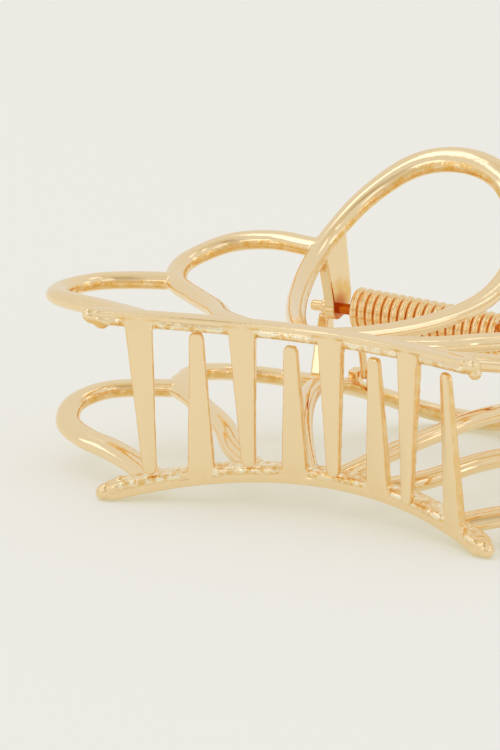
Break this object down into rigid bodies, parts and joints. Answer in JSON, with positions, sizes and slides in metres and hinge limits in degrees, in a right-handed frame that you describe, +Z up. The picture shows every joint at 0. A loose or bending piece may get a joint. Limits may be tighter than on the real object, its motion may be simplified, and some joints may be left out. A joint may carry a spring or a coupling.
{
  "type": "hair clip",
  "caption": "Open-work claw clip for hair: two cast metal jaws of bent tube petals with interlocking teeth, on a sprung hinge pin",
  "frame": {"origin": "on the table, under the middle of the closed clip's bounding box", "axes": "X along the hinge pin, Y from the comb towards the handles, Z up; the clip rests on the two ends of its lower comb bar and on the tip of its lower handle"},
  "size_m": [0.0874, 0.0604, 0.041],
  "materials": {
    "cast_metal": "polished pale gold plating",
    "pin_metal": "polished pale gold plating",
    "spring_wire": "polished pale gold plating"
  },
  "bodies": {
    "lower": {"jaw_lower": "cast_metal", "hinge_pin": "pin_metal", "spring": "spring_wire"},
    "upper": {"jaw_upper": "cast_metal"}
  },
  "joints": [
    {"name": "clip_hinge", "type": "hinge", "parent": "lower", "child": "upper", "pos_m": [0, 0.01442, 0.01894], "axis": [-1, 0, 0], "range_deg": [0, 55], "stiffness_Nm_per_rad": 0.25, "springref_deg": -22.92, "deforming": ["spring"]}
  ]
}
